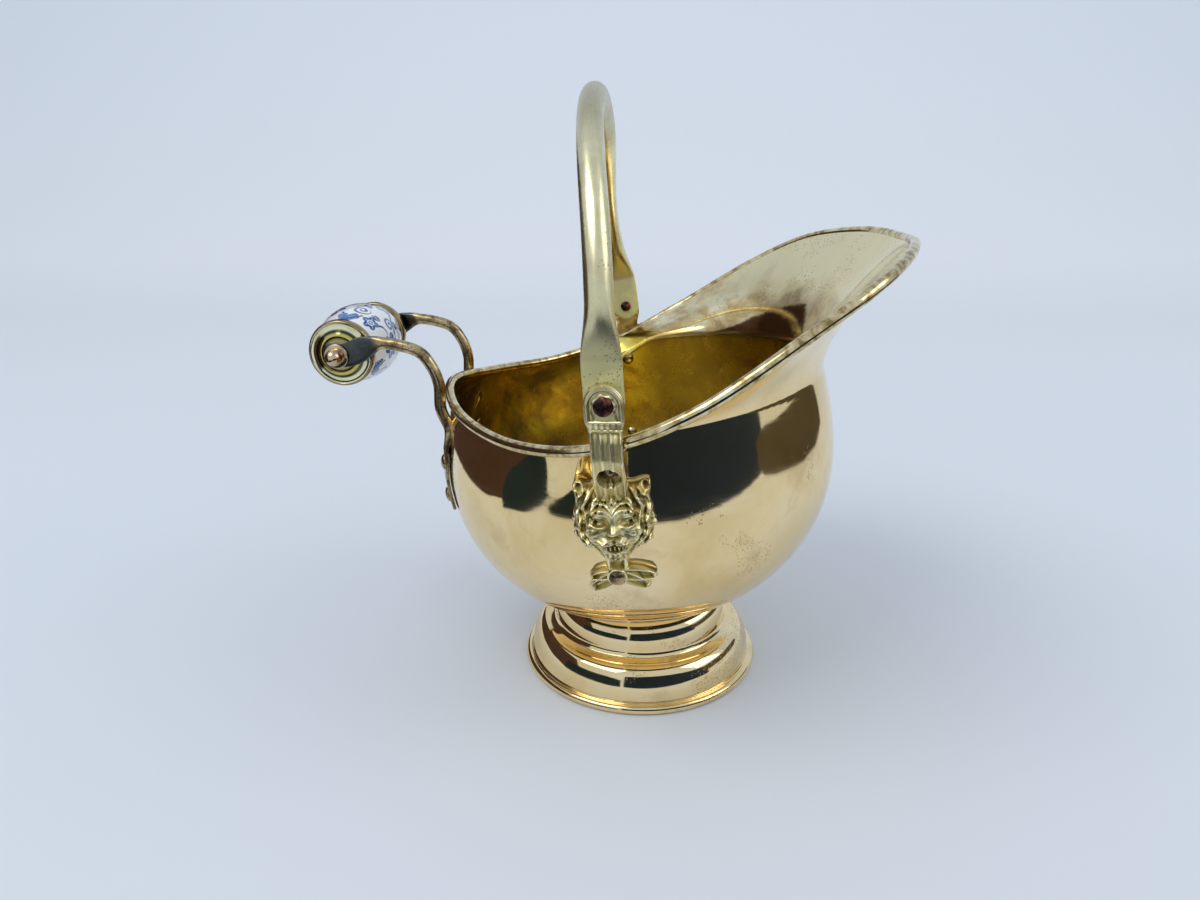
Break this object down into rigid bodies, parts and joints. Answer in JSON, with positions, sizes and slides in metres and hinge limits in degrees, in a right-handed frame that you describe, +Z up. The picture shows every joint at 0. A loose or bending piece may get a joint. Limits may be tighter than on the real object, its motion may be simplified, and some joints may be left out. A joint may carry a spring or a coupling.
{
  "type": "coal scuttle",
  "caption": "Helmet-shaped coal scuttle: a spun bowl leaning back on a flared foot, with a wide pouring mouth, a swinging bail between lion mounts and a porcelain tipping grip.",
  "frame": {"origin": "on the floor, under the middle of the outline's bounding box", "axes": "+X towards the pouring mouth, +Z up, so the bail's pivots lie along Y"},
  "size_m": [0.2484, 0.2088, 0.2538],
  "materials": {
    "polished_brass": "polished, lightly pitted",
    "brushed_brass": "brushed",
    "cast_brass": "cast, highlights polished and hollows dark",
    "aged_brass": "aged brown",
    "copper": "dull red",
    "porcelain": "glossy white glaze with blue flower scrolls"
  },
  "bodies": {
    "scuttle": {"bowl": "polished_brass", "mouth_bead": "polished_brass", "foot": "polished_brass", "lion_mount_right": "cast_brass", "lion_mount_left": "cast_brass", "ball_nut_right": "cast_brass", "ball_nut_left": "cast_brass", "handle_arm_right": "aged_brass", "handle_arm_left": "aged_brass", "grip_rod": "aged_brass", "mount_rivet_upper_right": "aged_brass", "mount_rivet_upper_left": "aged_brass", "mount_rivet_lower_right": "aged_brass", "mount_rivet_lower_left": "aged_brass", "arm_rivet_upper_right": "aged_brass", "arm_rivet_upper_left": "aged_brass", "arm_rivet_lower_right": "aged_brass", "arm_rivet_lower_left": "aged_brass", "bail_rivet_right": "copper", "bail_rivet_left": "copper"},
    "bail": {"bail": "brushed_brass"},
    "grip": {"grip": "porcelain", "grip_cup_right": "cast_brass", "grip_cup_left": "cast_brass"}
  },
  "joints": [
    {"name": "bail_swing", "type": "hinge", "parent": "scuttle", "child": "bail", "pos_m": [0.0056, 0, 0.151], "axis": [0, 1, 0], "range_deg": [-76, 76]},
    {"name": "grip_spin", "type": "hinge", "parent": "scuttle", "child": "grip", "pos_m": [-0.1079, 0, 0.1503], "axis": [0, 1, 0], "continuous": true}
  ]
}
